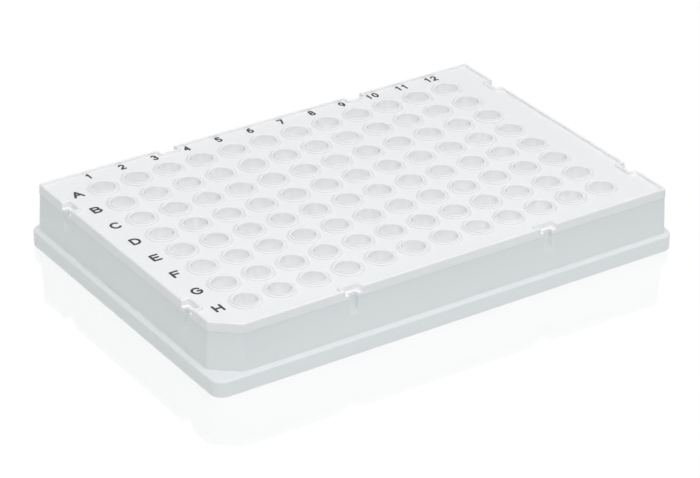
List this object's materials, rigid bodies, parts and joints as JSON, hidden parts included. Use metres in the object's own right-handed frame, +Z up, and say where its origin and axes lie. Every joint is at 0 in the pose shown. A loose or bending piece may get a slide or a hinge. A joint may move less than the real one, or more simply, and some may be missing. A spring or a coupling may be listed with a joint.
{
  "type": "well plate",
  "caption": "Flat rectangular laboratory plate with a grid of round conical wells in a raised deck, a full skirt with a wide base flange, edge notches and one cut corner.",
  "frame": {"origin": "centre of the base outline, on the plane that the plate stands on", "axes": "+Z up, +X along the rows towards the last column, +Y along the columns towards row A"},
  "size_m": [0.1278, 0.0854, 0.0159],
  "materials": {
    "natural_polypropylene": "satin",
    "black_ink": "matte"
  },
  "bodies": {
    "root": {"plate": "natural_polypropylene", "printed_marks": "black_ink"}
  },
  "joints": []
}
